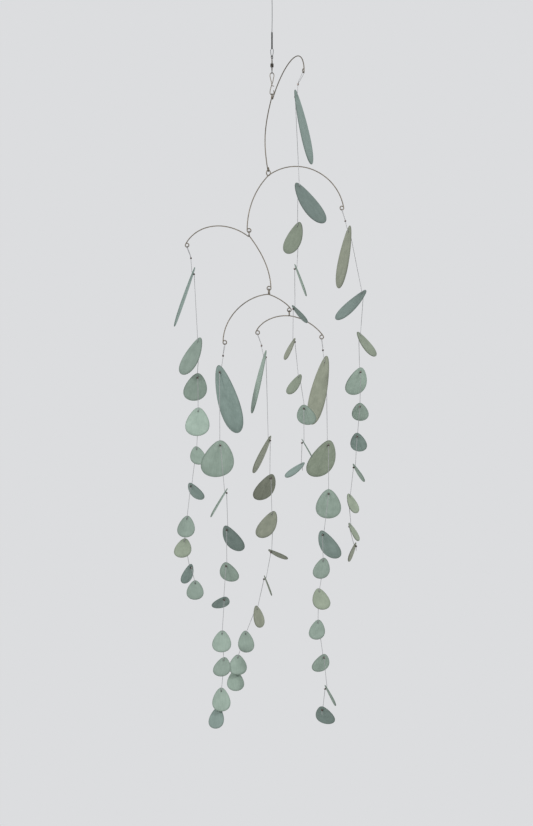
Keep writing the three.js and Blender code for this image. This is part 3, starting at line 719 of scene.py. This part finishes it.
# A thin plate with a rolled rim and a drilled hole, cupped a little, in the leaf's own axes
def leafSheet(leaf, hole, seed):
    cut, _, _, length, width, lean, azimuth, _ = leaf
    count = 80
    half = leafSizes["thickness"] / 2
    bore = (leafSizes["thread"] + 3 * clearance) / 2
    boreBevel = 0.12
    outline = eggOutline(cut, length, width, count)
    face = insetOutline(outline, 0.42)
    cup = 0.25 + 0.35 * noise.random()
    arch = (noise.random() - 0.35) * length * 0.02
    # rings from the hole's edge, over the face, round the rim and back along the other face
    shares = [0.0, 0.03, 0.08, 0.16, 0.27, 0.4, 0.54, 0.68, 0.8, 0.9, 0.96, 1.0]

    def faceRing(share, height):
        ring = []
        for point in face:
            start = point.normalized() * (bore + boreBevel)
            # Painted shade: darker close to the rim and close to the hole
            paintedShade = max(0, (share - 0.86) / 0.14) ** 2 * 0.55 + max(0, 1 - share / 0.05) * 0.9
            ring.append((start.lerp(point, share), height, paintedShade))
        return ring

    # The rolled rim: how far in, how far below the face, and how much painted shade it takes
    rimProfile = [(0.22, 0.05, 0.7), (0.07, 0.17, 0.9), (0, 0.38, 1.0)]
    # The hole's bore takes painted shade
    rings = [[(point.normalized() * bore, half - boreBevel, 0.8) for point in face]]
    rings += [faceRing(share, half) for share in shares]
    for inset, fall, paintedShade in rimProfile:
        rings.append([(p, half - fall, paintedShade) for p in insetOutline(outline, inset)])
    for inset, fall, paintedShade in reversed(rimProfile):
        rings.append([(p, -half + fall, paintedShade) for p in insetOutline(outline, inset)])
    rings += [faceRing(share, -half) for share in reversed(shares)]
    # The bore on the other face takes painted shade too
    rings.append([(point.normalized() * bore, -half + boreBevel, 0.8) for point in face])
    down, across, lower = leafAxes(lean, azimuth)
    points, faces, uvs, paintedRimShades = [], [], [], []
    for ring in rings:
        for flat, height, paintedRimShade in ring:
            bend = cup * (flat.x / (width / 2)) ** 2 + arch * (flat.y / length) ** 2
            points.append(hole + across * flat.x + down * flat.y + lower * (height - bend))
            uvs.append((flat.y + seed * 37, flat.x + seed * 11))
            paintedRimShades.append(paintedRimShade)
    total = len(rings)
    for ring in range(total):
        base, above = ring * count, ((ring + 1) % total) * count
        for step in range(count):
            following = (step + 1) % count
            faces.append((base + step, base + following, above + following, above + step))
    return points, faces, uvs, paintedRimShades


# A pressed crimp: a short tube, barrelled, with its two mouths rolled in.
def crimpBead(centre, bore):
    radius, halfLength = leafSizes["crimp"] / 2, leafSizes["crimpLength"] / 2
    lip = min(0.2, (radius - bore) / 3)
    upperHalf = [(radius, 0.25), (radius - 0.06, halfLength - 0.28), (radius - lip, halfLength - 0.04),
                 (bore + lip, halfLength), (bore, halfLength - 0.1)]
    profile = [(wide, -high) for wide, high in upperHalf[::-1]] + [(radius - 0.05, 0)] + upperHalf
    return turned(profile, centre, 18, closed=True)


noise.seed_set(11)


def makeThread(letter):
    point, plane = anchors[letter]
    leaves = threadLeaves[letter]
    node = f"thread_{letter}"
    thickness, crimpHalf = leafSizes["thread"], leafSizes["crimpLength"] / 2
    across = Vector((-plane.y, plane.x, 0))
    top = point + up * ((armSizes["wire"] + thickness) / 2 + clearance)
    crimpCentre = Vector((point.x + loopCrimpShifts[letter], point.y, point.z - leafSizes["loopDrop"]))
    loopWidth = armSizes["wire"] + thickness + 2 * clearance
    side = thickness / 2 + halfStrandGap

    def strand(sideways, height):
        return crimpCentre + across * sideways + up * height

    route = [strand(side, -crimpHalf + 0.3), strand(side, crimpHalf)]
    for step in range(13):
        angle = math.pi * step / 12
        bend = top + across * (loopWidth / 2 * math.cos(angle))
        route.append(bend + up * (loopWidth / 2 * (math.sin(angle) - 1)))
    route += [strand(-side, crimpHalf), strand(-side, -crimpHalf)]
    beads = [crimpCentre]
    hole = point.copy()
    for index, leaf in enumerate(leaves):
        hole.z -= leaf[1]
        hole.x = point.x + leaf[2]
        lower = leafAxes(leaf[5], leaf[6])[2]
        gap = leafSizes["thickness"] / 2 + clearance
        bead = hole + lower * (gap + leafSizes["crimp"] / 2)
        route += [hole - lower * gap, bead]
        beads.append(bead)
        nodes = [f"leaf_{letter}{index + 1}_{leaf[7]}"] if index < separateLeaves else [node]
        piece = makePiece(f"sheet_{letter}{index + 1}", [leafSheet(leaf, hole, index + 10 * ord(letter))],
                          leafPaints[leaf[7]], "mobile", nodes)
        # Each leaf's tone scale: partly its paint's own shade, partly painted light, with a small random
        # spread
        shade = piece.data.attributes.new("shade", "FLOAT", "POINT")
        coatAndLight = leafCoatAndLight.get(f"{letter}{index + 1}", 1.0) * (0.96 + 0.08 * noise.random())
        shade.data.foreach_set("value", [coatAndLight] * len(piece.data.vertices))
    route.append(route[-1] - up * leafSizes["tail"])
    route = eased(route, leafSizes["bend"], 5)
    strandPiece = makePiece(f"strand_{letter}", [sweep(route, thickness / 2, 8)], coatedThread,
                            "mobile", [node])
    # The first crimp holds both strands of the loop, so its bore is wider
    bores = [thickness + 0.12] + [thickness / 2 + 0.08] * len(leaves)
    crimps = makePiece(f"crimps_{letter}", [crimpBead(centre, bore) for centre, bore in zip(beads, bores)],
                       pressedCrimp, "mobile", [node])


for letter in threadLeaves:
    makeThread(letter)
print("stage: leaves and threads")

# Light: pale surroundings, brighter above than below, with a soft light on each side.
# The level band gives the plain tone behind the piece.
world = bpy.data.worlds.new("pale_room")
world.use_nodes = True
roomTree = world.node_tree
direction = addNode(roomTree, "ShaderNodeTexCoord").outputs["Generated"]
height = addNode(roomTree, "ShaderNodeSeparateXYZ", inputs={"Vector": direction}).outputs["Z"]
share = addNode(roomTree, "ShaderNodeMapRange", inputs={"Value": height, "From Min": -1, "From Max": 1})
room = addNode(roomTree, "ShaderNodeValToRGB", inputs={"Fac": share.outputs["Result"]})
roomTones = [(0.0, "#a6a6a5"), (0.3, "#bcbcbc"), (0.4, "#dcdddf"), (0.6, "#dcdddf"),
             (0.75, "#e6e7e9"), (1.0, "#ebecee")]
stops = room.color_ramp.elements
while len(stops) < len(roomTones):
    stops.new(0.5)
for stop, (place, tone) in zip(stops, roomTones):
    stop.position = place
    stop.color = toLinear(tone)
roomTree.links.new(room.outputs["Color"], roomTree.nodes["Background"].inputs["Color"])
bpy.context.scene.world = world
bpy.context.scene.view_settings.view_transform = "Standard"

windows = [
    dict(name="window_left", place=(-1.4, -2.0, 0.35), power=30),
    dict(name="window_right", place=(1.5, -1.6, 0.3), power=20),
]
for window in windows:
    light = bpy.data.lights.new(window["name"], "AREA")
    light.energy = window["power"]
    light.size = 0.4
    lamp = bpy.data.objects.new(window["name"], light)
    lamp.location = window["place"]
    aim = Vector((0, 0, -0.5)) - lamp.location
    lamp.rotation_euler = aim.to_track_quat("-Z", "Y").to_euler()
    bpy.context.scene.collection.objects.link(lamp)

# Floor, well under the lowest leaf
floorMesh = bpy.data.meshes.new("floor")
floorMesh.from_pydata([(-1.5, -1.5, -1.35), (1.5, -1.5, -1.35), (1.5, 1.5, -1.35), (-1.5, 1.5, -1.35)],
                      [], [(0, 1, 2, 3)])
floor = bpy.data.objects.new("floor", floorMesh)
bpy.context.scene.collection.objects.link(floor)
plaster, plasterTree = newMaterial("pale_floor")
closeMaterial(plasterTree, addNode(plasterTree, "ShaderNodeBsdfPrincipled", inputs={
    "Base Color": toLinear("#d6d6d4"), "Roughness": 0.85,
}))
floorMesh.materials.append(plaster)
print("stage: light and floor")
